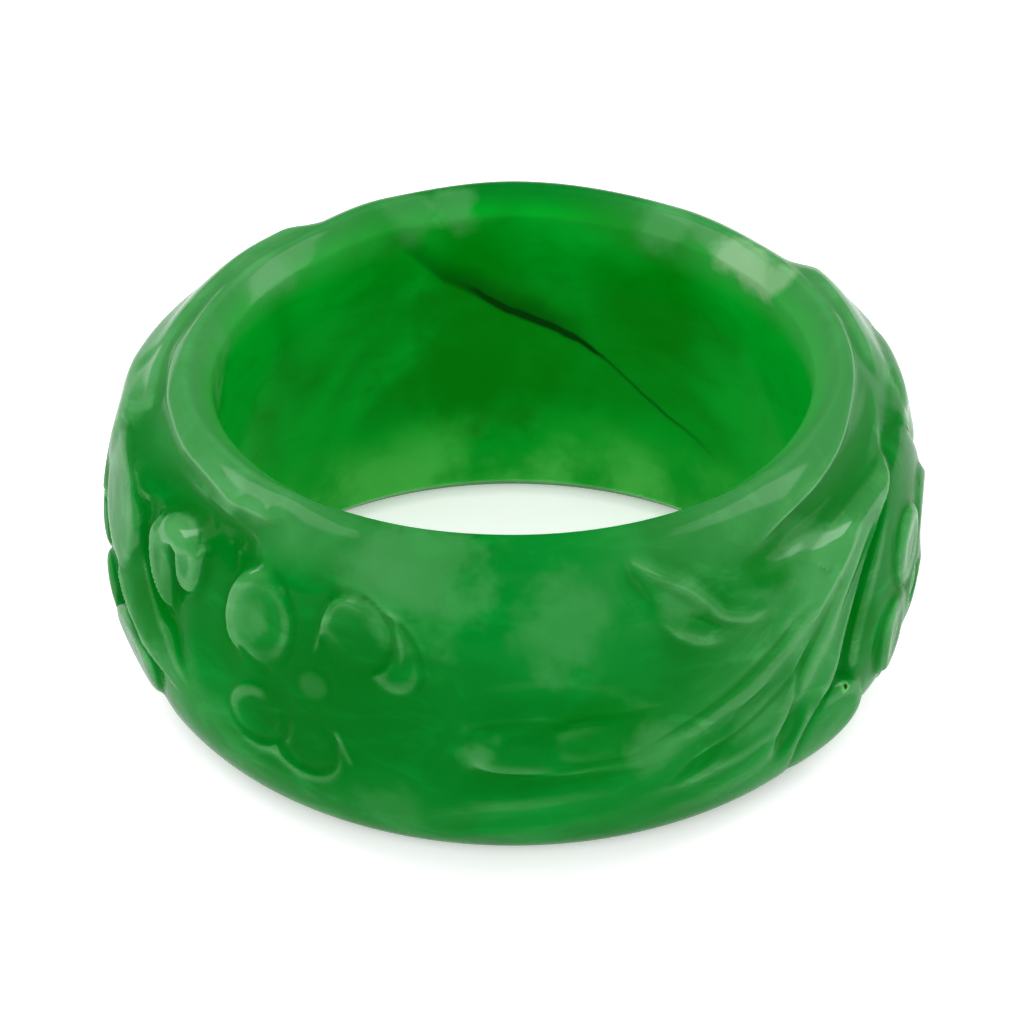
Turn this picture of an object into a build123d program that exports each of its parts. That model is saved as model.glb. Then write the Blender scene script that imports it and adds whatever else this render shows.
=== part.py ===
from build123d import *
import os
from collections import namedtuple
from math import acos, asin, cos, pi, radians, sin

import numpy as np

# Carved jade band ring, cut from one stone, lying on its side.
# Millimetres. The ring's axis is Z, the foot stands on Z = 0, and the front of the carving faces -Y.
# Azimuth is in degrees, 0 at the front and growing to the right, towards +X.

# Driving sizes of the band
FINGER_GIRTH = 57.0          # inside circumference, ring size 57
BAND_WIDTH = 10.9            # along the finger, foot to rim at the front
BELLY_WALL = 3.38            # bore to the uncut stone at the widest level
BELLY_LEVEL = 5.30           # height of the widest level above the foot
RIM_WALL = 0.88              # bore to the crest of the rim
LIP_DROP = 0.61              # crest of the rim down to the edge of the bore
LIP_FULLNESS = 0.05          # how far the lip's slope bulges
RIM_SWAY = 0.42              # how much lower the rim runs at its lowest
FOOT_WALL = 0.98             # bore to the outer edge of the flat foot
FOOT_FLAT = 0.25             # width of the flat foot
FOOT_REACH = 1.43            # radius of the curve under the belly, as a share of its reach inwards
HEEL_RISE = 0.66             # edge of the bore above the foot

# Driving sizes of the carving
RELIEF_DEPTH = 0.42          # full depth of the ground below the uncut stone
EDGE_SOFTNESS = 0.34         # half the width of a carved edge
FINEST = 0.52                # no ridge or groove is narrower than this on the stone
PLAIN_FOOT = 0.70            # uncarved border above the foot
PLAIN_RIM = 0.30             # uncarved border below the crest

# How finely the carving is followed
SECTIONS = 240
WALL_POINTS = 38
SPARE = 0.12                 # stone left for the bore's and the foot's cuts
LIP_POINTS = (0, 0.08, 0.20, 0.42, 0.70, 1)
LIP_EASE = 5                 # how soon the rounding of the crest runs out into the lip's slope

BORE_RADIUS = FINGER_GIRTH / (2 * pi)
BELLY_RADIUS = BORE_RADIUS + BELLY_WALL
CREST_RADIUS = BORE_RADIUS + RIM_WALL
FOOT_RADIUS = BORE_RADIUS + FOOT_WALL
HALF_WIDTH = BAND_WIDTH / 2

# The curve from the belly to the foot, and its angle where it meets the foot
FOOT_CURVE = FOOT_REACH * (BELLY_RADIUS - FOOT_RADIUS)
FOOT_ANGLE = acos(1 - 1 / FOOT_REACH)

# In every table az and turn are degrees, z is a share of the half width above the middle, lengths are
# shares of the half width, and levels, rises, drops and dishes are shares of the relief's depth.

# Ground cut away round the motifs
Ground = namedtuple("Ground", "az z long wide turn depth")
GROUNDS = [
    Ground(-60, 0.36, 0.46, 0.40, 0, 1.00),
    Ground(-46, 0.36, 0.22, 0.42, 0, 0.95),
    Ground(-29, 0.16, 0.58, 0.52, 0, 0.75),
    Ground(-80, -0.46, 0.60, 0.34, 0, 0.55),
    Ground(-2, -0.27, 0.34, 0.14, -6, 0.28),
    Ground(-13, -0.02, 0.20, 0.26, 0, 0.28),
    Ground(5, 0.13, 0.36, 0.15, -4, 0.36),
    Ground(20, 0.36, 0.28, 0.16, -20, 0.20),
    Ground(60, 0.79, 0.80, 0.06, 3, 0.45),
    Ground(66, 0.02, 0.50, 0.52, -30, 1.00),
    Ground(94, 0.02, 0.50, 0.45, 0, 0.80),
    Ground(42.2, -0.37, 0.09, 0.17, -10, 0.36),
    Ground(56, -0.46, 0.30, 0.30, -30, 0.70),
    Ground(26.5, -0.34, 0.16, 0.05, 30, 0.20),
    Ground(33.5, -0.06, 0.16, 0.05, 34, 0.14),
    Ground(148, 0.05, 0.80, 0.50, 0, 1.00),
    Ground(-140, 0.00, 0.80, 0.48, 0, 1.00),
    Ground(180, 0.10, 0.40, 0.40, 0, 0.80),
]

# Leaf blades, lobes and petals: turn points to the tip, lean raises the side on the tip's left, and later
# rows lie over earlier ones
Blade = namedtuple("Blade", "az z long wide turn taper bend root tip lean fade broad blunt brow dish dish_x")
BLADES = [
    # big leaf on the left
    Blade(-80.0, 0.36, 0.50, 0.27, -14, 0.10, 0.10, -0.10, 0.05, 0.00, 0.50, 2.0, 2.6, 0.00, 0.15, 0.10),
    # lobe low on the left
    Blade(-70.5, -0.46, 0.34, 0.27, 205, 0.00, 0.00, 0.05, 0.25, 0.00, 0.00, 2.4, 2.6, 0.00, 0.20, 0.00),
    # bud on the left, two lobes under one sloping brow
    Blade(-53.6, 0.50, 0.190, 0.130, -84, -0.05, 0.00, 0.12, -0.20, 0.00, 0.00, 3.0, 2.0, 0.34, 0.10, 0.20),
    Blade(-59.2, 0.41, 0.290, 0.125, -74, -0.25, -0.15, 0.17, -0.25, -0.10, 0.00, 3.0, 2.0, 0.26, 0.10, 0.20),
    Blade(-56.8, 0.605, 0.185, 0.085, 4, 0.00, 0.00, 0.06, 0.12, -0.35, 0.00, 2.4, 2.4, 0.00, 0.00, 0.00),
    # blunt leaf low in the middle, and the leaf that lies over it
    Blade(3.2, -0.085, 0.365, 0.165, 178, 0.00, 0.00, -0.50, 0.12, 0.22, 1.20, 2.0, 4.0, 0.00, 0.00, 0.00),
    Blade(15.0, -0.030, 0.400, 0.140, 182, 0.00, 0.00, -0.20, 0.08, 0.18, 1.60, 2.0, 4.0, 0.00, 0.00, 0.00),
    # big smooth petal behind the right leaf
    Blade(74.0, 0.00, 0.80, 0.56, 222, 0.00, 0.00, 0.05, -0.25, 0.30, 0.00, 2.4, 2.6, 0.00, 0.10, 0.20),
    # low lobes on the right
    Blade(53.0, -0.60, 0.34, 0.29, 108, 0.00, 0.00, 0.30, -0.05, -0.30, 0.00, 2.4, 2.2, 0.00, 0.15, 0.10),
    # two overlapping ends of the big right leaf, under the rim
    Blade(108.0, 0.71, 0.74, 0.235, 3, -0.05, 0.05, 0.10, 1.35, 0.00, 0.70, 2.0, 4.0, 0.00, 0.10, 0.00),
    Blade(103.0, 0.42, 0.52, 0.270, 6, -0.15, 0.10, 0.10, 1.10, 0.00, 0.90, 2.0, 3.0, 0.00, 0.15, 0.00),
    # leaves round the back
    Blade(-119.0, 0.68, 0.98, 0.23, 170, -0.10, 0.00, 0.50, 1.40, 0.00, 0.50, 2.0, 3.0, 0.00, 0.10, 0.00),
    Blade(-112.0, 0.24, 0.60, 0.22, 172, -0.15, 0.15, 0.10, 0.10, 0.00, 0.50, 2.0, 2.0, 0.00, 0.30, 0.10),
    Blade(172.0, 0.42, 0.62, 0.20, -16, -0.15, 0.20, -0.20, 0.15, 0.00, 0.50, 2.0, 2.0, 0.00, 0.35, 0.10),
    Blade(-172.0, -0.20, 0.60, 0.20, 160, -0.15, -0.20, -0.20, 0.10, 0.00, 0.50, 2.0, 2.0, 0.00, 0.35, 0.10),
    Blade(118.0, -0.40, 0.55, 0.19, 18, -0.15, -0.20, 0.10, 0.00, 0.00, 0.40, 2.0, 2.0, 0.00, 0.35, 0.10),
    Blade(-112.0, -0.36, 0.55, 0.19, 200, -0.15, 0.20, 0.10, 0.00, 0.00, 0.40, 2.0, 2.0, 0.00, 0.35, 0.10),
]

# Flowers, and the petals that each kind has
Flower = namedtuple("Flower", "kind az z turn size lift")
FLOWERS = [
    Flower("open", -28.6, 0.135, 0, 1.0, 0.00),
    Flower("plum", -92.0, -0.40, -12, 0.95, 0.25),
    Flower("plum", 79.0, -0.20, 28, 1.05, 0.55),
    Flower("plum", 147.0, 0.06, 20, 1.10, 0.10),
    Flower("plum", -143.0, 0.04, -8, 1.05, 0.10),
]
FlowerPetal = namedtuple("FlowerPetal", "angle reach long wide twist root tip lean dish")
PETALS = {
    "open": [
        FlowerPetal(261, 0.396, 0.210, 0.200, 0, -0.90, -0.52, 0.04, 0.10),
        FlowerPetal(31, 0.511, 0.200, 0.230, 0, -0.75, -0.15, -0.20, 0.15),
        FlowerPetal(56, 0.421, 0.225, 0.225, 0, -0.65, -0.15, 0.32, 0.10),
        FlowerPetal(220, 0.470, 0.210, 0.190, 0, -0.80, -0.15, -0.28, 0.20),
        FlowerPetal(148, 0.452, 0.310, 0.235, -57, -0.45, -0.02, 0.32, 0.30),
    ],
    "plum": [
        FlowerPetal(20, 0.380, 0.240, 0.250, 0, -0.70, 0.00, 0.12, 0.20),
        FlowerPetal(92, 0.370, 0.225, 0.235, 0, -0.70, -0.05, -0.10, 0.20),
        FlowerPetal(163, 0.375, 0.235, 0.250, 0, -0.70, 0.00, 0.14, 0.25),
        FlowerPetal(235, 0.385, 0.225, 0.235, 0, -0.70, -0.05, 0.10, 0.20),
        FlowerPetal(307, 0.370, 0.235, 0.245, 0, -0.70, 0.00, -0.12, 0.20),
    ],
}
CUP_SIZE = 0.150             # radius of the cup in a flower's middle
CUP_LEVEL = -0.77            # its bottom
CUP_RIM = 0.06               # height of its rim
CUP_RIM_WIDTH = 0.30         # width of its rim, as a share of the cup's radius
BOSS_SIZE = 0.105            # radius of the boss in the cup
BOSS_HEIGHT = 0.26

# Leaf edges: raised on the left of the line, cut down on its right
Fold = namedtuple("Fold", "line rise soft drop foot lead trail")
FOLDS = [
    # collar, left and right
    Fold(((-100, 0.84), (-91, 0.847), (-80, 0.856), (-66, 0.848), (-57, 0.844), (-49, 0.835),
           (-43, 0.856), (-36, 0.92)),
         0.04, 0.10, 0.40, 0.20, 0.20, 0.15),
    Fold(((39, 0.80), (46, 0.82), (51, 0.835), (58, 0.855), (67, 0.888), (76, 0.926), (86, 0.938),
           (100, 0.948), (124, 0.955)),
         0.04, 0.10, 0.45, 0.14, 0.15, 0.10),
    # edge of the leaf outside the collar, on the left of the back
    Fold(((-82, 0.79), (-89, 0.793), (-96, 0.800), (-103, 0.803), (-111, 0.84), (-120, 0.88),
           (-130, 0.885), (-144, 0.90)),
         0.45, 0.40, 0.35, 0.07, 0.15, 0.15),
    # ledge under the collar on the left
    Fold(((-71, 0.729), (-63.5, 0.754), (-59.5, 0.742), (-52, 0.771), (-46.5, 0.745),
           (-41.5, 0.726), (-36, 0.715)),
         0.10, 0.08, 0.30, 0.10, 0.30, 0.25),
    # inner edge of the big leaf on the left
    Fold(((-48, -0.32), (-52, -0.16), (-55.5, -0.005), (-59.5, 0.068), (-64, 0.204), (-67.2, 0.352),
           (-69, 0.486), (-70, 0.57)),
         0.25, 0.25, 0.30, 0.15, 0.30, 0.15),
    # its outer edge
    Fold(((-104, 0.28), (-89, 0.17), (-76.5, 0.12), (-69.8, -0.097), (-64.8, -0.225),
           (-59.5, -0.28), (-52, -0.35)),
         0.20, 0.30, 0.60, 0.30, 0.20, 0.30),
    # steep crest on the right
    Fold(((48.5, -0.30), (50.2, -0.19), (52.8, 0.007), (56.8, 0.195), (60.2, 0.32), (64.8, 0.454),
           (70, 0.57), (78, 0.62), (86, 0.62)),
         0.20, 0.30, 0.75, 0.30, 0.12, 0.20),
    # soft edge in the swath
    Fold(((40, -0.40), (40.2, -0.25), (41.2, -0.04), (42.8, 0.106), (46, 0.22)),
         0.20, 0.15, 0.20, 0.08, 0.20, 0.30),
    # upper edge of the big leaf on the right
    Fold(((100, 0.60), (86, 0.64), (72, 0.69), (59, 0.69), (52, 0.675), (47.5, 0.635), (46.8, 0.56)),
         0.20, 0.20, 0.28, 0.20, 0.20, 0.35),
    # stems round the back
    Fold(((98, -0.30), (112, -0.12), (128, -0.20), (146, -0.50), (164, -0.46), (184, -0.10), (200, 0.16)),
         0.20, 0.16, 0.35, 0.12, 0.15, 0.15),
    Fold(((-96, 0.02), (-110, 0.06), (-124, -0.16), (-142, -0.54), (-160, -0.58), (-178, -0.46)),
         0.20, 0.16, 0.35, 0.12, 0.15, 0.15),
    # lower outline of the curled leaf
    Fold(((17.5, 0.76), (20, 0.637), (21.8, 0.552), (24, 0.472), (27, 0.411), (31, 0.393), (35, 0.41)),
         0.20, 0.10, 0.12, 0.12, 0.35, 0.45),
    # lower edge of the blunt leaf
    Fold(((-5.5, -0.13), (-3, -0.196), (0.2, -0.249), (5, -0.273), (10.5, -0.250), (18, -0.24),
           (26, -0.18)),
         0.05, 0.20, 0.35, 0.14, 0.15, 0.50),
]

# Veins and creases: rounded along the line, a minus height cuts in
Vein = namedtuple("Vein", "line height width")
VEINS = [
    # long ridges through the swath
    Vein(((12, -0.30), (20.8, -0.144), (25.5, -0.06), (29.5, 0.019), (34, 0.083), (40.5, 0.248), (47.2, 0.405),
           (51, 0.49), (57, 0.60), (65, 0.70)), 0.42, 0.075),
    Vein(((27, -0.33), (36, -0.20), (42, -0.04), (46.5, 0.12), (50, 0.27), (54, 0.40), (60, 0.53), (67, 0.62)),
         0.26, 0.060),
    Vein(((18, -0.06), (27, 0.10), (34, 0.22), (40, 0.36), (46, 0.50), (52, 0.62)), 0.16, 0.060),
    Vein(((12, -0.50), (24, -0.44), (33, -0.35), (39, -0.22), (43, -0.06), (47, 0.08)), 0.24, 0.060),
    Vein(((18, -0.66), (28, -0.61), (36, -0.52), (41, -0.40)), 0.16, 0.070),
    # pocket between the blunt leaf's tip and the leaf over it
    Vein(((-2.2, 0.030), (0.4, 0.020), (2.6, 0.010), (6.4, 0.005)), -0.16, 0.060),
    Vein(((-16, -0.56), (-8.8, -0.527), (-1.8, -0.48), (5.2, -0.428), (12.8, -0.407),
           (22, -0.36)), 0.24, 0.09),
    Vein(((-14, -0.84), (0, -0.69), (10, -0.60), (24, -0.46)), 0.16, 0.08),
    # curled leaf: its rolled edge and the groove beside it
    Vein(((17.0, 0.915), (18.5, 0.902), (22.5, 0.825), (25.8, 0.754), (28.5, 0.655), (30.2, 0.57),
           (32.8, 0.515), (36, 0.49), (41, 0.49)),
         0.40, 0.040),
    Vein(((15.6, 0.90), (17.8, 0.814), (19.8, 0.708), (22.0, 0.606), (24.5, 0.53)), -0.22, 0.055),
    # bud: the groove between its lobes
    Vein(((-57.8, 0.56), (-57.0, 0.45), (-56.4, 0.34), (-56.0, 0.15)), -0.45, 0.040),
]

# Round the rim: how far its crest sags, as a share of the sway, and how slim its shoulder is cut
Rim = namedtuple("Rim", "az sag slim")
RIM = [
    Rim(-180, -0.30, 0.00),
    Rim(-158, -0.05, 0.10),
    Rim(-135, 0.60, 0.40),
    Rim(-105, 1.00, 0.60),
    Rim(-80, 0.72, 0.60),
    Rim(-55, 0.37, 0.60),
    Rim(-41, 0.20, 0.45),
    Rim(-24, 0.08, 0.00),
    Rim(0, 0.00, 0.00),
    Rim(24, 0.00, 0.00),
    Rim(48, 0.00, 0.35),
    Rim(72, 0.00, 0.55),
    Rim(105, 0.00, 0.50),
    Rim(130, 0.00, 0.40),
    Rim(150, -0.10, 0.15),
    Rim(180, -0.30, 0.00),
]
SLIM_POWER = 1.0             # how much faster the slimmest shoulder falls away
SHOULDER_FOOT = 0.60         # level under which the slimming has run out
SHOULDER_RISE = 0.16

BLADE_DOME = 0.12            # height of a blade's middle over its edge
BLADE_ROUND = 0.070          # how far in from its edge a blade's shoulder is round
SHOULDER_DROP = 0.30         # fall of that shoulder
DISH_SIZE = 0.62             # a dish's size as a share of its blade's
DISH_SOFTNESS = 1.35
GROUND_SOFTNESS = 1.50
LOWEST_CUT = -1.15
FLOOR_EASE = 9.0             # how sharply the deepest cuts level out
VEIN_TAPER = 0.25            # share of a vein's line over which each of its ends fades
CURVE_STEPS = 6              # steps from point to point of a line
EVEN_STEPS = 0.72            # how evenly the rows up the wall are spread


def smooth(share):
    share = np.clip(share, 0, 1)
    return share * share * (3 - 2 * share)


def turned(az):
    """Degrees brought between -180 and 180."""
    return (az + 180) % 360 - 180


def round_rim(az, column):
    """A column of the rim's table at any azimuth, eased from row to row."""
    out = np.zeros(np.shape(az))
    for a, b in zip(RIM, RIM[1:]):
        share = smooth((az - a.az) / (b.az - a.az))
        here = (az >= a.az) & (az <= b.az)
        out = np.where(here, getattr(a, column) * (1 - share) + getattr(b, column) * share, out)
    return out


def beside(az, z, from_az, from_z, turn):
    """Shares of the half width along and across a motif from its middle."""
    x = np.radians(turned(az - from_az)) * BELLY_RADIUS / HALF_WIDTH
    y = z - from_z
    c = cos(radians(turn))
    s = sin(radians(turn))
    return x * c + y * s, y * c - x * s


def smooth_line(points):
    """A curve through the points of a line, in the shares of the tables."""
    p = np.array(points, float)
    p = np.vstack([2 * p[0] - p[1], p, 2 * p[-1] - p[-2]])
    out = []
    for a, b, c, d in zip(p, p[1:], p[2:], p[3:]):
        for t in np.arange(CURVE_STEPS) / CURVE_STEPS:
            square = (2 * a - 5 * b + 4 * c - d) * t**2
            cube = (3 * b - a - 3 * c + d) * t**3
            out.append((2 * b + (c - a) * t + square + cube) / 2)
    out.append(p[-2])
    return np.array(out)


def across(az, z, points):
    """Distance from a line, plus on its left, and the share of the way along it."""
    path = smooth_line(points)
    middle = path[len(path) // 2, 0]
    px = np.radians(path[:, 0] - middle) * BELLY_RADIUS / HALF_WIDTH
    py = path[:, 1]
    x = np.radians(turned(az - middle)) * BELLY_RADIUS / HALF_WIDTH
    nearest = np.full(az.shape, 2 * pi * BELLY_RADIUS / HALF_WIDTH)
    side = np.zeros(az.shape)
    along = np.zeros(az.shape)
    spans = len(path) - 1
    for i in range(spans):
        dx = px[i + 1] - px[i]
        dy = py[i + 1] - py[i]
        t = np.clip(((x - px[i]) * dx + (z - py[i]) * dy) / (dx * dx + dy * dy), 0, 1)
        distance = np.hypot(x - px[i] - t * dx, z - py[i] - t * dy)
        closer = distance < nearest
        nearest = np.where(closer, distance, nearest)
        side = np.where(closer, np.sign(dx * (z - py[i]) - dy * (x - px[i])), side)
        along = np.where(closer, (i + t) / spans, along)
    return nearest * side, along


def over_edge(inwards):
    """0 outside a carved edge and 1 inside it."""
    edge = EDGE_SOFTNESS / HALF_WIDTH
    return smooth((inwards + edge) / (2 * edge))


def at_least_finest(width):
    """A ridge's width, as a share of the half width, that the sections can follow."""
    return max(width, FINEST / HALF_WIDTH)


def lay_blade(height, az, z, b):
    """The carving with one blade laid over it."""
    x, y = beside(az, z, b.az, b.z, b.turn)
    u = x / b.long
    width = b.wide * (1 + b.taper * np.clip(u, -1, 1))
    v = (y - b.bend * b.wide * (1 - u * u)) / width
    power = np.where(u < 0, b.broad, b.blunt)
    reach = (np.abs(u) ** power + np.abs(v) ** power) ** (1 / power)
    inwards = (1 - reach) * min(b.wide, b.long)
    shoulder = 1 - np.clip(inwards / BLADE_ROUND, 0, 1)
    dished = np.hypot(u - b.dish_x, v) / DISH_SIZE
    level = b.root + (b.tip - b.root) * (u + 1) / 2
    level = level + BLADE_DOME * (1 - np.clip(reach, 0, 1) ** 2) - b.dish * smooth(DISH_SOFTNESS - dished)
    level = level + b.lean * np.clip(v, -1, 1)
    level = level - SHOULDER_DROP * (1 - np.sqrt(1 - shoulder**2))
    if b.brow:
        level = level + (LOWEST_CUT - level) * smooth(1 - (u + 1) / (2 * b.brow))
    cover = over_edge(inwards)
    if b.fade:
        cover = cover * smooth((u + 1) / b.fade)
    return height + (level - height) * cover


def petals(f):
    """A flower's petals, as blades."""
    for p in PETALS[f.kind]:
        angle = radians(p.angle + f.turn)
        reach = p.reach * f.size
        az = f.az + np.degrees(reach * cos(angle) * HALF_WIDTH / BELLY_RADIUS)
        yield Blade(az, f.z + reach * sin(angle), p.long * f.size, p.wide * f.size,
                    p.angle + p.twist + f.turn, 0.10, 0, p.root + f.lift, p.tip + f.lift, p.lean,
                    0.7, 2.0, 2.0, 0, p.dish, 0.10)


def carving(az, z):
    """Height of the carving above the uncut stone, as a share of the relief's depth."""
    left = np.ones(az.shape)
    for g in GROUNDS:
        x, y = beside(az, z, g.az, g.z, g.turn)
        reach = np.hypot(x / g.long, y / g.wide)
        left = left * (1 - g.depth * smooth(GROUND_SOFTNESS - reach))
    height = left - 1
    for f in FOLDS:
        inwards, along = across(az, z, f.line)
        taper = smooth(along / f.lead) * smooth((1 - along) / f.trail)
        inside = over_edge(inwards)
        lift = f.rise * np.exp(-(inwards / at_least_finest(f.soft)) ** 2) * inside
        sink = f.drop * np.exp(-(inwards / at_least_finest(f.foot)) ** 2) * (1 - inside)
        height = height + (lift - sink) * taper
    height = LOWEST_CUT + np.logaddexp(0, (height - LOWEST_CUT) * FLOOR_EASE) / FLOOR_EASE
    for b in BLADES:
        height = lay_blade(height, az, z, b)
    for v in VEINS:
        inwards, along = across(az, z, v.line)
        taper = smooth(along / VEIN_TAPER) * smooth((1 - along) / VEIN_TAPER)
        height = height + v.height * np.exp(-(inwards / at_least_finest(v.width)) ** 2) * taper
    for f in FLOWERS:
        for p in petals(f):
            height = lay_blade(height, az, z, p)
        x, y = beside(az, z, f.az, f.z, 0)
        away = np.hypot(x, y) / f.size
        cup = smooth(2 * (1 - away / CUP_SIZE))
        height = height + (f.lift + CUP_LEVEL - height) * cup
        height = height + CUP_RIM * np.exp(-((away / CUP_SIZE - 1) / CUP_RIM_WIDTH) ** 2)
        height = height + BOSS_HEIGHT * np.sqrt(np.clip(1 - (away / BOSS_SIZE) ** 2, 0, 1))
    return height


def crest_height(az):
    """Height of the rim's crest above the foot, round the ring."""
    return BAND_WIDTH - RIM_SWAY * round_rim(turned(az), "sag")


def uncut_wall(az, share):
    """Radius and height of the stone before carving; share runs from -1 at the foot to 1 at the crest."""
    top = crest_height(az) - BELLY_LEVEL
    low = BELLY_LEVEL + SPARE
    fall = BELLY_LEVEL / sin(FOOT_ANGLE)
    even = EVEN_STEPS * share + (1 - EVEN_STEPS) * share**3
    up = np.clip(even, 0, None) * pi / 2
    down = np.clip(-even, 0, None) * asin(low / fall)
    height = BELLY_LEVEL + top * np.sin(up) - fall * np.sin(down)
    slim = 1 + SLIM_POWER * round_rim(turned(az), "slim")
    shoulder = smooth(((height - HALF_WIDTH) / HALF_WIDTH - SHOULDER_FOOT) / SHOULDER_RISE)
    slimmed = np.cos(up) + (np.cos(up)**slim - np.cos(up)) * shoulder
    radius_up = CREST_RADIUS + (BELLY_RADIUS - CREST_RADIUS) * slimmed
    radius_down = BELLY_RADIUS - FOOT_CURVE * (1 - np.cos(down))
    return np.where(share > 0, radius_up, radius_down), height


def carved_wall(az, share):
    """Radius and height of the finished outside."""
    radius, height = uncut_wall(az, share)
    plain = smooth(height / PLAIN_FOOT) * smooth((crest_height(az) - height) / PLAIN_RIM)
    depth = RELIEF_DEPTH * carving(az, (height - HALF_WIDTH) / HALF_WIDTH)
    return radius + depth * plain, height


def section(azimuth, radii, heights):
    """One closed cross-section of the band, in the plane that holds the axis."""
    a = radians(azimuth)
    plane = Plane(origin=(0, 0, 0), x_dir=(sin(a), -cos(a), 0), z_dir=(-cos(a), -sin(a), 0))

    def at(radius, height):
        return plane.from_local_coords(Vector(float(radius), float(height), 0))

    crest = float(heights[-1])
    lip = []
    for share in LIP_POINTS:
        bulge = LIP_FULLNESS * 4 * share * (1 - share) + LIP_DROP * share * (1 - share)**LIP_EASE
        lip.append(at(CREST_RADIUS - RIM_WALL * share, crest - LIP_DROP * share + bulge))
    lip[-1] = at(BORE_RADIUS - SPARE, crest - LIP_DROP * (1 + SPARE / RIM_WALL))
    heel_reach = FOOT_RADIUS - FOOT_FLAT - BORE_RADIUS
    heel = at(BORE_RADIUS - SPARE, HEEL_RISE * (1 + SPARE / heel_reach))
    foot_inside = at(FOOT_RADIUS - FOOT_FLAT + heel_reach * SPARE / HEEL_RISE, -SPARE)
    return Wire([
        Edge.make_spline([at(r, h) for r, h in zip(radii, heights)]),
        Edge.make_spline(lip),
        Edge.make_line(lip[-1], heel),
        Edge.make_line(heel, foot_inside),
        Edge.make_line(foot_inside, at(radii[0], heights[0])),
    ])


def carved_band():
    azimuths = np.linspace(0, 360, SECTIONS + 1)
    shares = np.linspace(-1, 1, WALL_POINTS)
    az, share = np.meshgrid(azimuths, shares, indexing="ij")
    radii, heights = carved_wall(az, share)
    wires = [section(a, r, h) for a, r, h in zip(azimuths, radii, heights)]
    half = SECTIONS // 2
    right = Solid.make_loft(wires[:half + 1], ruled=True)
    left = Solid.make_loft(wires[half:], ruled=True)
    stone = right + left
    bore = Cylinder(BORE_RADIUS, 3 * BAND_WIDTH)
    below = Pos(0, 0, -BAND_WIDTH / 2) * Cylinder(2 * BELLY_RADIUS, BAND_WIDTH)
    return stone - bore - below


os.makedirs("parts", exist_ok=True)
band = carved_band()
export_step(band, "parts/carved_band.step")
print("carved band:", band.is_valid, len(band.solids()), "solid,", len(band.faces()), "faces,",
      round(band.volume, 2), "mm3")
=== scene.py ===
from collections import namedtuple
from math import acos, cos, degrees, pi, radians, sin

import bmesh
import bpy
import numpy as np
from bpy.props import FloatProperty, FloatVectorProperty, IntProperty, PointerProperty
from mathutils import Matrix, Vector


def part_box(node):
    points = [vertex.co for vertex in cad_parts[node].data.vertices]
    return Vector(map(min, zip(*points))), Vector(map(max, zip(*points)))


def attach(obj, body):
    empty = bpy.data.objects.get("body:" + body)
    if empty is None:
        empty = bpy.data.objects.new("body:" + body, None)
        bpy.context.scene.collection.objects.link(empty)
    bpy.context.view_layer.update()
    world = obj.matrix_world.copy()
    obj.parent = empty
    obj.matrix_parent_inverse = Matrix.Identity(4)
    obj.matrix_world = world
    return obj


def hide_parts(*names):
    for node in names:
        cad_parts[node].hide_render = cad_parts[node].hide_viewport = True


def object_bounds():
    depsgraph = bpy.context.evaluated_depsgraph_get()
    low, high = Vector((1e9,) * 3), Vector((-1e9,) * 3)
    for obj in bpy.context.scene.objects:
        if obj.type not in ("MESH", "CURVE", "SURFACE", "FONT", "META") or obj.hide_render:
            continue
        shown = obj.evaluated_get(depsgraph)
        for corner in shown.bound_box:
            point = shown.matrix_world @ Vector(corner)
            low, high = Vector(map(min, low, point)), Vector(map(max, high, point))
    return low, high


bl_info = {
    "name": "Jade Band Ring",
    "version": (1, 0, 0),
    "blender": (4, 2, 0),
    "location": "View3D > Sidebar > Jade Ring",
    "description": "Builds a carved jade band ring round its CAD frame, with a plain stage for it",
    "category": "Object",
}

# The ring lies on its side. Its axis is Z, its foot stands on Z = 0, and the front of the carving faces -Y.
# Azimuth is in degrees, 0 at the front and growing to the right, towards +X.
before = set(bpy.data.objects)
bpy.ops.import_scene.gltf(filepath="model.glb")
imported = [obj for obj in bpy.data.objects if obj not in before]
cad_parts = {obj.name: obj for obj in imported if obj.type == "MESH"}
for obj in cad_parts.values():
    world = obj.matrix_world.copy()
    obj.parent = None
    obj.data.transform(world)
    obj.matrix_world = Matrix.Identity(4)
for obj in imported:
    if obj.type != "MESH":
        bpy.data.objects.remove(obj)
cad_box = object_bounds()

# In every table az and turn are degrees, z is a share of the half width above the middle, lengths are
# shares of the half width, and levels, rises, drops and dishes are shares of the relief's depth.

# Ground cut away round the motifs
Ground = namedtuple("Ground", "az z long wide turn depth")
GROUNDS = [
    Ground(-60, 0.36, 0.46, 0.40, 0, 1.00),
    Ground(-46, 0.36, 0.22, 0.42, 0, 0.95),
    Ground(-29, 0.16, 0.58, 0.52, 0, 0.75),
    Ground(-80, -0.46, 0.60, 0.34, 0, 0.55),
    Ground(-2, -0.27, 0.34, 0.14, -6, 0.28),
    Ground(-13, -0.02, 0.20, 0.26, 0, 0.28),
    Ground(5, 0.13, 0.36, 0.15, -4, 0.36),
    Ground(20, 0.36, 0.28, 0.16, -20, 0.20),
    Ground(60, 0.79, 0.80, 0.06, 3, 0.45),
    Ground(66, 0.02, 0.50, 0.52, -30, 1.00),
    Ground(94, 0.02, 0.50, 0.45, 0, 0.80),
    Ground(42.2, -0.37, 0.09, 0.17, -10, 0.36),
    Ground(56, -0.46, 0.30, 0.30, -30, 0.70),
    Ground(26.5, -0.34, 0.16, 0.05, 30, 0.20),
    Ground(33.5, -0.06, 0.16, 0.05, 34, 0.14),
    Ground(148, 0.05, 0.80, 0.50, 0, 1.00),
    Ground(-140, 0.00, 0.80, 0.48, 0, 1.00),
    Ground(180, 0.10, 0.40, 0.40, 0, 0.80),
]

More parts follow.
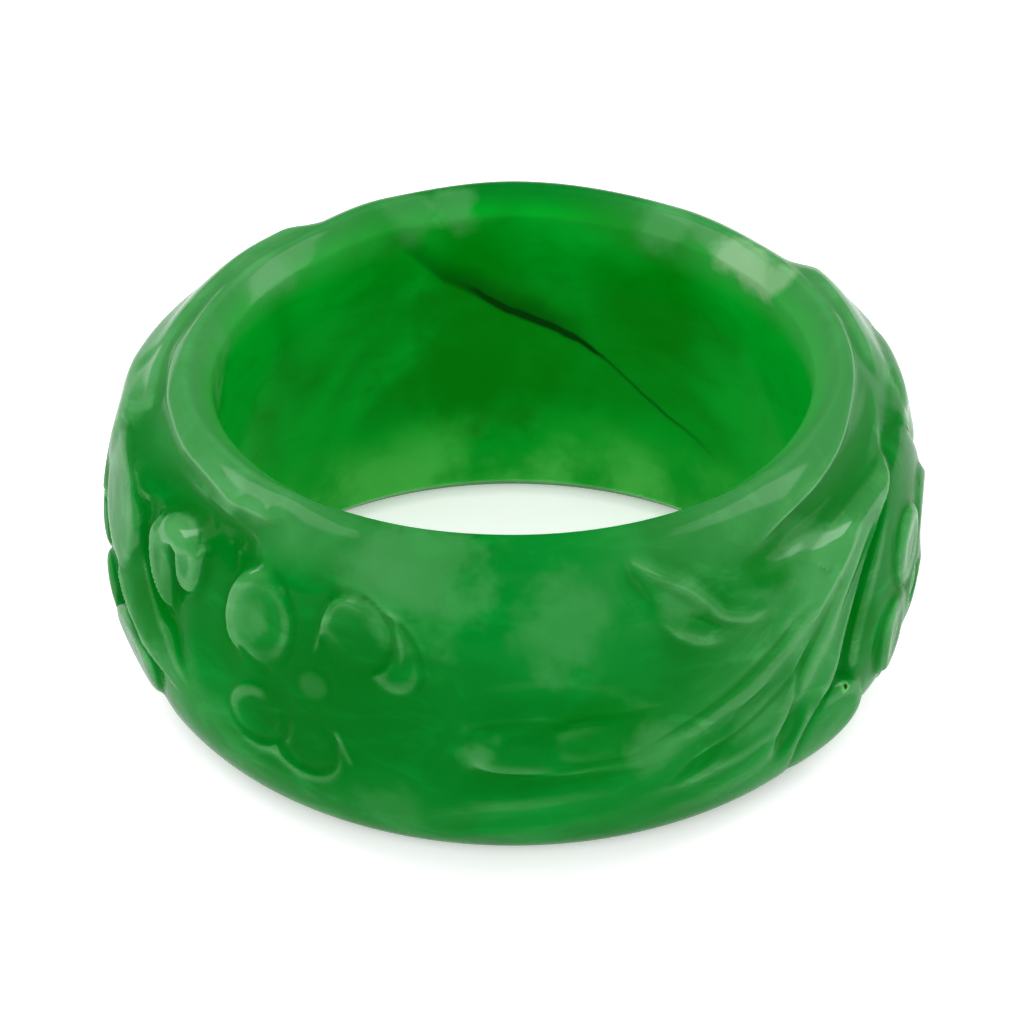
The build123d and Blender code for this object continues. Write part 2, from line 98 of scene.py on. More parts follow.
# Leaf blades, lobes and petals: turn points to the tip, lean raises the side on the tip's left, and later
# rows lie over earlier ones
Blade = namedtuple("Blade", "az z long wide turn taper bend root tip lean fade broad blunt brow dish dish_x")
BLADES = [
    # big leaf on the left
    Blade(-80.0, 0.36, 0.50, 0.27, -14, 0.10, 0.10, -0.10, 0.05, 0.00, 0.50, 2.0, 2.6, 0.00, 0.15, 0.10),
    # lobe low on the left
    Blade(-70.5, -0.46, 0.34, 0.27, 205, 0.00, 0.00, 0.05, 0.25, 0.00, 0.00, 2.4, 2.6, 0.00, 0.20, 0.00),
    # bud on the left, two lobes under one sloping brow
    Blade(-53.6, 0.50, 0.190, 0.130, -84, -0.05, 0.00, 0.12, -0.20, 0.00, 0.00, 3.0, 2.0, 0.34, 0.10, 0.20),
    Blade(-59.2, 0.41, 0.290, 0.125, -74, -0.25, -0.15, 0.17, -0.25, -0.10, 0.00, 3.0, 2.0, 0.26, 0.10, 0.20),
    Blade(-56.8, 0.605, 0.185, 0.085, 4, 0.00, 0.00, 0.06, 0.12, -0.35, 0.00, 2.4, 2.4, 0.00, 0.00, 0.00),
    # blunt leaf low in the middle, and the leaf that lies over it
    Blade(3.2, -0.085, 0.365, 0.165, 178, 0.00, 0.00, -0.50, 0.12, 0.22, 1.20, 2.0, 4.0, 0.00, 0.00, 0.00),
    Blade(15.0, -0.030, 0.400, 0.140, 182, 0.00, 0.00, -0.20, 0.08, 0.18, 1.60, 2.0, 4.0, 0.00, 0.00, 0.00),
    # big smooth petal behind the right leaf
    Blade(74.0, 0.00, 0.80, 0.56, 222, 0.00, 0.00, 0.05, -0.25, 0.30, 0.00, 2.4, 2.6, 0.00, 0.10, 0.20),
    # low lobes on the right
    Blade(53.0, -0.60, 0.34, 0.29, 108, 0.00, 0.00, 0.30, -0.05, -0.30, 0.00, 2.4, 2.2, 0.00, 0.15, 0.10),
    # two overlapping ends of the big right leaf, under the rim
    Blade(108.0, 0.71, 0.74, 0.235, 3, -0.05, 0.05, 0.10, 1.35, 0.00, 0.70, 2.0, 4.0, 0.00, 0.10, 0.00),
    Blade(103.0, 0.42, 0.52, 0.270, 6, -0.15, 0.10, 0.10, 1.10, 0.00, 0.90, 2.0, 3.0, 0.00, 0.15, 0.00),
    # leaves round the back
    Blade(-119.0, 0.68, 0.98, 0.23, 170, -0.10, 0.00, 0.50, 1.40, 0.00, 0.50, 2.0, 3.0, 0.00, 0.10, 0.00),
    Blade(-112.0, 0.24, 0.60, 0.22, 172, -0.15, 0.15, 0.10, 0.10, 0.00, 0.50, 2.0, 2.0, 0.00, 0.30, 0.10),
    Blade(172.0, 0.42, 0.62, 0.20, -16, -0.15, 0.20, -0.20, 0.15, 0.00, 0.50, 2.0, 2.0, 0.00, 0.35, 0.10),
    Blade(-172.0, -0.20, 0.60, 0.20, 160, -0.15, -0.20, -0.20, 0.10, 0.00, 0.50, 2.0, 2.0, 0.00, 0.35, 0.10),
    Blade(118.0, -0.40, 0.55, 0.19, 18, -0.15, -0.20, 0.10, 0.00, 0.00, 0.40, 2.0, 2.0, 0.00, 0.35, 0.10),
    Blade(-112.0, -0.36, 0.55, 0.19, 200, -0.15, 0.20, 0.10, 0.00, 0.00, 0.40, 2.0, 2.0, 0.00, 0.35, 0.10),
]

# Flowers, and the petals that each kind has
Flower = namedtuple("Flower", "kind az z turn size lift")
FLOWERS = [
    Flower("open", -28.6, 0.135, 0, 1.0, 0.00),
    Flower("plum", -92.0, -0.40, -12, 0.95, 0.25),
    Flower("plum", 79.0, -0.20, 28, 1.05, 0.55),
    Flower("plum", 147.0, 0.06, 20, 1.10, 0.10),
    Flower("plum", -143.0, 0.04, -8, 1.05, 0.10),
]
FlowerPetal = namedtuple("FlowerPetal", "angle reach long wide twist root tip lean dish")
PETALS = {
    "open": [
        FlowerPetal(261, 0.396, 0.210, 0.200, 0, -0.90, -0.52, 0.04, 0.10),
        FlowerPetal(31, 0.511, 0.200, 0.230, 0, -0.75, -0.15, -0.20, 0.15),
        FlowerPetal(56, 0.421, 0.225, 0.225, 0, -0.65, -0.15, 0.32, 0.10),
        FlowerPetal(220, 0.470, 0.210, 0.190, 0, -0.80, -0.15, -0.28, 0.20),
        FlowerPetal(148, 0.452, 0.310, 0.235, -57, -0.45, -0.02, 0.32, 0.30),
    ],
    "plum": [
        FlowerPetal(20, 0.380, 0.240, 0.250, 0, -0.70, 0.00, 0.12, 0.20),
        FlowerPetal(92, 0.370, 0.225, 0.235, 0, -0.70, -0.05, -0.10, 0.20),
        FlowerPetal(163, 0.375, 0.235, 0.250, 0, -0.70, 0.00, 0.14, 0.25),
        FlowerPetal(235, 0.385, 0.225, 0.235, 0, -0.70, -0.05, 0.10, 0.20),
        FlowerPetal(307, 0.370, 0.235, 0.245, 0, -0.70, 0.00, -0.12, 0.20),
    ],
}
PETAL_TAPER = 0.10           # how much wider a petal is at its tip than at its middle
PETAL_FADE = 0.7             # share of its half length over which its root rises out of the ground
PETAL_DISH_X = 0.10          # how far its dish lies towards the tip
CUP_SIZE = 0.150             # radius of the cup in a flower's middle
CUP_LEVEL = -0.77            # its bottom
CUP_RIM = 0.06               # height of its rim
CUP_RIM_WIDTH = 0.30         # width of its rim, as a share of the cup's radius
BOSS_SIZE = 0.105            # radius of the boss in the cup
BOSS_HEIGHT = 0.26

# Leaf edges: raised on the left of the line, cut down on its right
Fold = namedtuple("Fold", "line rise soft drop foot lead trail")
FOLDS = [
    # collar, left and right
    Fold(((-100, 0.84), (-91, 0.847), (-80, 0.856), (-66, 0.848), (-57, 0.844), (-49, 0.835),
          (-43, 0.856), (-36, 0.92)),
         0.04, 0.10, 0.40, 0.20, 0.20, 0.15),
    Fold(((39, 0.80), (46, 0.82), (51, 0.835), (58, 0.855), (67, 0.888), (76, 0.926), (86, 0.938),
          (100, 0.948), (124, 0.955)),
         0.04, 0.10, 0.45, 0.14, 0.15, 0.10),
    # edge of the leaf outside the collar, on the left of the back
    Fold(((-82, 0.79), (-89, 0.793), (-96, 0.800), (-103, 0.803), (-111, 0.84), (-120, 0.88),
          (-130, 0.885), (-144, 0.90)),
         0.45, 0.40, 0.35, 0.07, 0.15, 0.15),
    # ledge under the collar on the left
    Fold(((-71, 0.729), (-63.5, 0.754), (-59.5, 0.742), (-52, 0.771), (-46.5, 0.745),
          (-41.5, 0.726), (-36, 0.715)),
         0.10, 0.08, 0.30, 0.10, 0.30, 0.25),
    # inner edge of the big leaf on the left
    Fold(((-48, -0.32), (-52, -0.16), (-55.5, -0.005), (-59.5, 0.068), (-64, 0.204), (-67.2, 0.352),
          (-69, 0.486), (-70, 0.57)),
         0.25, 0.25, 0.30, 0.15, 0.30, 0.15),
    # its outer edge
    Fold(((-104, 0.28), (-89, 0.17), (-76.5, 0.12), (-69.8, -0.097), (-64.8, -0.225),
          (-59.5, -0.28), (-52, -0.35)),
         0.20, 0.30, 0.60, 0.30, 0.20, 0.30),
    # steep crest on the right
    Fold(((48.5, -0.30), (50.2, -0.19), (52.8, 0.007), (56.8, 0.195), (60.2, 0.32), (64.8, 0.454),
          (70, 0.57), (78, 0.62), (86, 0.62)),
         0.20, 0.30, 0.75, 0.30, 0.12, 0.20),
    # soft edge in the swath
    Fold(((40, -0.40), (40.2, -0.25), (41.2, -0.04), (42.8, 0.106), (46, 0.22)),
         0.20, 0.15, 0.20, 0.08, 0.20, 0.30),
    # upper edge of the big leaf on the right
    Fold(((100, 0.60), (86, 0.64), (72, 0.69), (59, 0.69), (52, 0.675), (47.5, 0.635), (46.8, 0.56)),
         0.20, 0.20, 0.28, 0.20, 0.20, 0.35),
    # stems round the back
    Fold(((98, -0.30), (112, -0.12), (128, -0.20), (146, -0.50), (164, -0.46), (184, -0.10), (200, 0.16)),
         0.20, 0.16, 0.35, 0.12, 0.15, 0.15),
    Fold(((-96, 0.02), (-110, 0.06), (-124, -0.16), (-142, -0.54), (-160, -0.58), (-178, -0.46)),
         0.20, 0.16, 0.35, 0.12, 0.15, 0.15),
    # lower outline of the curled leaf
    Fold(((17.5, 0.76), (20, 0.637), (21.8, 0.552), (24, 0.472), (27, 0.411), (31, 0.393), (35, 0.41)),
         0.20, 0.10, 0.12, 0.12, 0.35, 0.45),
    # lower edge of the blunt leaf
    Fold(((-5.5, -0.13), (-3, -0.196), (0.2, -0.249), (5, -0.273), (10.5, -0.250), (18, -0.24),
          (26, -0.18)),
         0.05, 0.20, 0.35, 0.14, 0.15, 0.50),
]

# Veins and creases: rounded along the line, a minus height cuts in
Vein = namedtuple("Vein", "line height width")
VEINS = [
    # long ridges through the swath
    Vein(((12, -0.30), (20.8, -0.144), (25.5, -0.06), (29.5, 0.019), (34, 0.083), (40.5, 0.248),
          (47.2, 0.405), (51, 0.49), (57, 0.60), (65, 0.70)),
         0.42, 0.075),
    Vein(((27, -0.33), (36, -0.20), (42, -0.04), (46.5, 0.12), (50, 0.27), (54, 0.40), (60, 0.53),
          (67, 0.62)),
         0.26, 0.060),
    Vein(((18, -0.06), (27, 0.10), (34, 0.22), (40, 0.36), (46, 0.50), (52, 0.62)), 0.16, 0.060),
    Vein(((12, -0.50), (24, -0.44), (33, -0.35), (39, -0.22), (43, -0.06), (47, 0.08)), 0.24, 0.060),
    Vein(((18, -0.66), (28, -0.61), (36, -0.52), (41, -0.40)), 0.16, 0.070),
    # pocket between the blunt leaf's tip and the leaf over it
    Vein(((-2.2, 0.030), (0.4, 0.020), (2.6, 0.010), (6.4, 0.005)), -0.16, 0.060),
    # soft ridges low in the middle
    Vein(((-16, -0.56), (-8.8, -0.527), (-1.8, -0.48), (5.2, -0.428), (12.8, -0.407), (22, -0.36)),
         0.24, 0.09),
    Vein(((-14, -0.84), (0, -0.69), (10, -0.60), (24, -0.46)), 0.16, 0.08),
    # curled leaf: its rolled edge and the groove beside it
    Vein(((17.0, 0.915), (18.5, 0.902), (22.5, 0.825), (25.8, 0.754), (28.5, 0.655), (30.2, 0.57),
          (32.8, 0.515), (36, 0.49), (41, 0.49)),
         0.40, 0.040),
    Vein(((15.6, 0.90), (17.8, 0.814), (19.8, 0.708), (22.0, 0.606), (24.5, 0.53)), -0.22, 0.055),
    # bud: the groove between its lobes
    Vein(((-57.8, 0.56), (-57.0, 0.45), (-56.4, 0.34), (-56.0, 0.15)), -0.45, 0.040),
]

# The tool's finest lines, too narrow for the plain solid
FINE_LINES = [
    # rims and seams of the open flower's petals
    Vein(((-29.5, 0.28), (-28.5, 0.365), (-28.0, 0.468), (-27.0, 0.584), (-26.3, 0.650),
          (-24.4, 0.685), (-21.5, 0.700)),
         0.20, 0.022),
    Vein(((-18.6, 0.690), (-16.4, 0.600), (-15.5, 0.464), (-15.8, 0.35)), 0.12, 0.022),
    Vein(((-43.5, 0.44), (-43.3, 0.54), (-41.2, 0.64), (-38.4, 0.68), (-36.2, 0.67)), 0.16, 0.024),
    Vein(((-41.6, 0.24), (-39.8, 0.165), (-37.4, 0.120), (-34.8, 0.085)), -0.20, 0.024),
    Vein(((-25.8, -0.100), (-24.6, -0.177), (-23.4, -0.268), (-22.4, -0.35)), 0.12, 0.024),
    # nicks at the end of the ledge
    Vein(((-50.5, 0.72), (-48.0, 0.69), (-45.0, 0.665), (-41.0, 0.715), (-37.0, 0.700)), 0.16, 0.022),
    Vein(((-46.8, 0.72), (-45.8, 0.64), (-44.6, 0.58)), -0.20, 0.022),
    # notch in the big leaf's edge
    Vein(((-73.0, 0.585), (-70.0, 0.575), (-68.2, 0.562), (-67.0, 0.481), (-67.6, 0.40)), 0.18, 0.022),
    # fine veins through the swath and the curled leaf
    Vein(((14, -0.20), (24, -0.02), (32, 0.14), (39, 0.30), (45, 0.44)), -0.14, 0.022),
    Vein(((22, -0.36), (32, -0.20), (39, -0.02), (44, 0.14), (49, 0.33)), -0.14, 0.022),
    Vein(((24, 0.62), (28, 0.56), (31, 0.50), (35, 0.46)), -0.14, 0.020),
    Vein(((44, 0.28), (48, 0.42), (53, 0.54), (59, 0.62)), 0.16, 0.022),
]

# Clouds in the stone: pale where lift is more than 0, and clear, deep green where it is less, where the gloss
# is also taken away.
# Pale rows are partly natural clouds and partly painted highlights on faces that the lights catch, and the
# palest are the lip's painted highlights; dark rows are partly painted shade, in hollows on the carving and
# in the bore's wall.
# Out and size are millimetres, out from the ring's axis.
Cloud = namedtuple("Cloud", "az z out size lift")
CLOUDS = [
    # painted highlights: pale patches where the lights catch the upper front
    Cloud(7, 0.62, 11.8, 1.9, 0.30),
    Cloud(-15, 0.82, 11.0, 2.6, 0.35),
    Cloud(14, 0.02, 12.2, 2.2, -0.60),
    Cloud(-60, 0.10, 12.0, 1.8, -0.60),
    Cloud(-44, 0.20, 12.2, 1.3, -0.50),
    Cloud(70, -0.10, 12.2, 1.5, -0.60),
    Cloud(48, 0.62, 11.6, 1.6, 0.45),
    Cloud(-100, 0.70, 11.0, 2.6, 0.50),
    Cloud(28, 0.97, 10.6, 1.3, -0.30),
    Cloud(40, 0.70, 11.7, 1.2, -0.60),
    Cloud(57, 0.00, 12.2, 1.3, -0.70),
    Cloud(24, 0.68, 11.8, 1.0, 0.35),
    Cloud(20, -0.12, 12.3, 1.3, 0.30),
    Cloud(36, -0.10, 12.2, 1.2, 0.30),
    Cloud(-17, -0.60, 11.8, 1.5, 0.14),
    Cloud(58, -0.03, 12.4, 1.2, -0.60),
    # painted highlights on the facets of the ledge and the bud
    Cloud(-45.5, 0.88, 10.7, 0.7, 0.55),
    Cloud(-51.5, 0.885, 10.6, 0.8, 0.55),
    Cloud(-59.0, 0.88, 10.5, 0.8, 0.45),
    Cloud(-56.5, 0.635, 11.8, 0.7, 0.50),
    # painted shade in the bore's wall
    Cloud(187, 0.00, 9.07, 3.8, -0.80),
    Cloud(150, 0.45, 9.07, 2.0, -0.60),
    Cloud(204, 0.70, 9.07, 1.6, -0.50),
    Cloud(-40.5, 0.38, 12.2, 0.9, 0.36),
    Cloud(-4.6, -0.12, 12.4, 0.8, 0.35),
    # the lip's painted highlights
    Cloud(134, 0.935, 9.5, 0.9, 0.95),
    Cloud(128, 0.935, 9.5, 0.9, 0.95),
    Cloud(121, 0.935, 9.5, 0.8, 0.95),
    Cloud(151, 0.95, 9.6, 1.2, 0.50),
    Cloud(-169, 0.95, 9.6, 1.0, 0.50),
    Cloud(-126, 0.93, 9.5, 1.3, 0.55),
    Cloud(180, 0.50, 9.2, 2.6, -0.30),
    Cloud(-160, 0.95, 9.6, 1.2, 0.35),
]

# over this lift a cloud is the lip's painted highlight
HIGHLIGHT_LIFT = 0.90                # lift over which a cloud has the palest green

# Dark line along the bore's wall, from the left of the back
Crease = namedtuple("Crease", "az z")
CREASE = [
    Crease(203, 0.80),
    Crease(194, 0.52),
    Crease(187, 0.41),
    Crease(181, 0.285),
    Crease(177, 0.24),
    Crease(167, 0.12),
    Crease(160, -0.015),
    Crease(153.5, -0.17),
    Crease(147, -0.275),
    Crease(132, -0.46),
]

# Dark specks on the surface, with a yellowish edge
Speck = namedtuple("Speck", "az z out size")
SPECKS = [
    Speck(53.5, -0.295, 12.34, 0.12),
    Speck(-43.2, 0.494, 11.72, 0.10),
]

# Round the rim: how far its crest sags, as a share of the sway, and how slim its shoulder is cut
Rim = namedtuple("Rim", "az sag slim")
RIM = [
    Rim(-180, -0.30, 0.00),
    Rim(-158, -0.05, 0.10),
    Rim(-135, 0.60, 0.40),
    Rim(-105, 1.00, 0.60),
    Rim(-80, 0.72, 0.60),
    Rim(-55, 0.37, 0.60),
    Rim(-41, 0.20, 0.45),
    Rim(-24, 0.08, 0.00),
    Rim(0, 0.00, 0.00),
    Rim(24, 0.00, 0.00),
    Rim(48, 0.00, 0.35),
    Rim(72, 0.00, 0.55),
    Rim(105, 0.00, 0.50),
    Rim(130, 0.00, 0.40),
    Rim(150, -0.10, 0.15),
    Rim(180, -0.30, 0.00),
]
SHOULDER_FOOT = 0.60         # level under which the slimming has run out
SHOULDER_RISE = 0.16         # height over which it comes in

BLADE_DOME = 0.12            # height of a blade's middle over its edge
BLADE_ROUND = 0.070          # how far in from its edge a blade's shoulder is round
SHOULDER_DROP = 0.30         # fall of that shoulder
DISH_SIZE = 0.62             # a dish's size as a share of its blade's
DISH_SOFTNESS = 1.35         # how far a dish's soft edge reaches, over its size
GROUND_SOFTNESS = 1.50       # the same of cut ground
LOWEST_CUT = -1.15           # level that the deepest cuts stop at
FLOOR_EASE = 9.0             # how sharply the deepest cuts level out
VEIN_TAPER = 0.25            # share of a vein's line over which each of its ends fades
CURVE_STEPS = 6              # steps from point to point of a line
EVEN_STEPS = 0.72            # how evenly the rows up the wall are spread


def smooth(share):
    share = np.clip(share, 0, 1)
    return share * share * (3 - 2 * share)


def turned(az):
    """Degrees brought between -180 and 180."""
    return (az + 180) % 360 - 180


def round_rim(az, column):
    """A column of the rim's table at any azimuth, eased from row to row."""
    out = np.zeros(np.shape(az))
    for a, b in zip(RIM, RIM[1:]):
        share = smooth((az - a.az) / (b.az - a.az))
        here = (az >= a.az) & (az <= b.az)
        out = np.where(here, getattr(a, column) * (1 - share) + getattr(b, column) * share, out)
    return out


class Stone:
    """The band's profile and carving, from the sizes in the panel."""

    def __init__(self, s):
        self.bore = s.bore_across / 2
        self.belly = self.bore + s.belly_wall
        self.crest = self.bore + s.rim_wall
        self.foot = self.bore + s.foot_wall
        self.half = s.band_width / 2
        self.s = s
        self.foot_curve = s.foot_reach * (self.belly - self.foot)
        self.foot_angle = acos(1 - (self.belly - self.foot) / self.foot_curve)

    def beside(self, az, z, from_az, from_z, turn):
        """Place along and across an axis that starts at a point and is turned."""
        x = np.radians(turned(az - from_az)) * self.belly / self.half
        y = z - from_z
        cosine = cos(radians(turn))
        sine = sin(radians(turn))
        return x * cosine + y * sine, y * cosine - x * sine

    def smooth_line(self, points):
        """A curve through the points, with short steps between them."""
        p = np.array(points, float)
        p = np.vstack([2 * p[0] - p[1], p, 2 * p[-1] - p[-2]])
        out = []
        for a, b, c, d in zip(p, p[1:], p[2:], p[3:]):
            for t in np.arange(CURVE_STEPS) / CURVE_STEPS:
                square = (2 * a - 5 * b + 4 * c - d) * t**2
                cube = (3 * b - a - 3 * c + d) * t**3
                out.append((2 * b + (c - a) * t + square + cube) / 2)
        out.append(p[-2])
        return np.array(out)

    def across(self, az, z, points):
        """Distance from a line, plus on its left, and the share of the way along it."""
        path = self.smooth_line(points)
        middle = path[len(path) // 2, 0]
        px = np.radians(path[:, 0] - middle) * self.belly / self.half
        py = path[:, 1]
        x = np.radians(turned(az - middle)) * self.belly / self.half
        nearest = np.full(az.shape, 9.0)
        side = np.zeros(az.shape)
        along = np.zeros(az.shape)
        spans = len(path) - 1
        for i in range(spans):
            dx = px[i + 1] - px[i]
            dy = py[i + 1] - py[i]
            t = np.clip(((x - px[i]) * dx + (z - py[i]) * dy) / (dx * dx + dy * dy), 0, 1)
            distance = np.hypot(x - px[i] - t * dx, z - py[i] - t * dy)
            closer = distance < nearest
            nearest = np.where(closer, distance, nearest)
            side = np.where(closer, np.sign(dx * (z - py[i]) - dy * (x - px[i])), side)
            along = np.where(closer, (i + t) / spans, along)
        return nearest * side, along

    def lay_blade(self, height, az, z, b, edge):
        """The carving with one more blade laid over it."""
        x, y = self.beside(az, z, b.az, b.z, b.turn)
        u = x / b.long
        width = b.wide * (1 + b.taper * np.clip(u, -1, 1))
        v = (y - b.bend * b.wide * (1 - u * u)) / width
        power = np.where(u < 0, b.broad, b.blunt)
        reach = (np.abs(u) ** power + np.abs(v) ** power) ** (1 / power)
        inwards = (1 - reach) * min(b.wide, b.long)
        shoulder = 1 - np.clip(inwards / BLADE_ROUND, 0, 1)
        dished = np.hypot(u - b.dish_x, v) / DISH_SIZE
        level = b.root + (b.tip - b.root) * (u + 1) / 2
        level = level + BLADE_DOME * (1 - np.clip(reach, 0, 1) ** 2) - b.dish * smooth(DISH_SOFTNESS - dished)
        level = level + b.lean * np.clip(v, -1, 1)
        level = level - SHOULDER_DROP * (1 - np.sqrt(1 - shoulder**2))
        if b.brow:
            level = level + (LOWEST_CUT - level) * smooth(1 - (u + 1) / (2 * b.brow))
        cover = smooth((inwards + edge) / (2 * edge))
        if b.fade:
            cover = cover * smooth((u + 1) / b.fade)
        return height + (level - height) * cover

    def petals(self, f):
        """A flower's petals, as blades."""
        for p in PETALS[f.kind]:
            angle = radians(p.angle + f.turn)
            reach = p.reach * f.size
            az = f.az + np.degrees(reach * cos(angle) * self.half / self.belly)
            yield Blade(az, f.z + reach * sin(angle), p.long * f.size, p.wide * f.size,
                        p.angle + p.twist + f.turn, taper=PETAL_TAPER, bend=0, root=p.root + f.lift,
                        tip=p.tip + f.lift, lean=p.lean, fade=PETAL_FADE, broad=2, blunt=2, brow=0,
                        dish=p.dish, dish_x=PETAL_DISH_X)

    def vein(self, az, z, v):
        """How far a vein raises the carving."""
        inwards, along = self.across(az, z, v.line)
        taper = smooth(along / VEIN_TAPER) * smooth((1 - along) / VEIN_TAPER)
        return v.height * np.exp(-(inwards / v.width) ** 2) * taper

    def carving(self, az, z, edge):
        """Height above the uncut stone, as a share of the relief's depth."""
        left = np.ones(az.shape)
        for g in GROUNDS:
            x, y = self.beside(az, z, g.az, g.z, g.turn)
            reach = np.hypot(x / g.long, y / g.wide)
            left = left * (1 - g.depth * smooth(GROUND_SOFTNESS - reach))
        height = left - 1
        for f in FOLDS:
            inwards, along = self.across(az, z, f.line)
            taper = smooth(along / f.lead) * smooth((1 - along) / f.trail)
            inside = smooth((inwards + edge) / (2 * edge))
            lift = f.rise * np.exp(-(inwards / f.soft) ** 2) * inside
            sink = f.drop * np.exp(-(inwards / f.foot) ** 2) * (1 - inside)
            height = height + (lift - sink) * taper
        height = LOWEST_CUT + np.logaddexp(0, (height - LOWEST_CUT) * FLOOR_EASE) / FLOOR_EASE
        for b in BLADES:
            height = self.lay_blade(height, az, z, b, edge)
        for v in VEINS:
            height = height + self.vein(az, z, v)
        for f in FLOWERS:
            for p in self.petals(f):
                height = self.lay_blade(height, az, z, p, edge)
            x, y = self.beside(az, z, f.az, f.z, 0)
            away = np.hypot(x, y) / f.size
            cup = smooth(2 * (1 - away / CUP_SIZE))
            height = height + (f.lift + CUP_LEVEL - height) * cup
            height = height + CUP_RIM * np.exp(-((away / CUP_SIZE - 1) / CUP_RIM_WIDTH) ** 2)
            height = height + BOSS_HEIGHT * np.sqrt(np.clip(1 - (away / BOSS_SIZE) ** 2, 0, 1))
        for v in FINE_LINES:
            height = height + self.vein(az, z, v)
        return height

    def crest_height(self, az):
        return self.s.band_width - self.s.rim_sway * round_rim(turned(az), "sag")

    def uncut_wall(self, az, share):
        """Radius and height of the outside before carving, share from -1 at the foot to 1 at the crest."""
        level = self.s.belly_level
        top = self.crest_height(az) - level
        fall = level / sin(self.foot_angle)
        even = EVEN_STEPS * share + (1 - EVEN_STEPS) * share**3
        up = np.clip(even, 0, None) * pi / 2
        down = np.clip(-even, 0, None) * self.foot_angle
        radius_up = self.crest + (self.belly - self.crest) * np.cos(up)
        radius_down = self.belly - self.foot_curve * (1 - np.cos(down))
        height = level + top * np.sin(up) - fall * np.sin(down)
        slim = 1 + round_rim(turned(az), "slim")
        shoulder = smooth(((height - self.half) / self.half - SHOULDER_FOOT) / SHOULDER_RISE)
        radius_up = radius_up + (self.belly - self.crest) * (np.cos(up)**slim - np.cos(up)) * shoulder
        return np.where(share > 0, radius_up, radius_down), height

    def carved_wall(self, az, share):
        """Radius and height of the carved outside, and how high its carving stands."""
        radius, height = self.uncut_wall(az, share)
        plain = smooth(height / self.s.plain_foot)
        plain = plain * smooth((self.crest_height(az) - height) / self.s.plain_rim)
        z = (height - self.half) / self.half
        cut = self.carving(az, z, self.s.edge_softness / self.half) * plain
        return radius + self.s.relief_depth * cut, height, cut


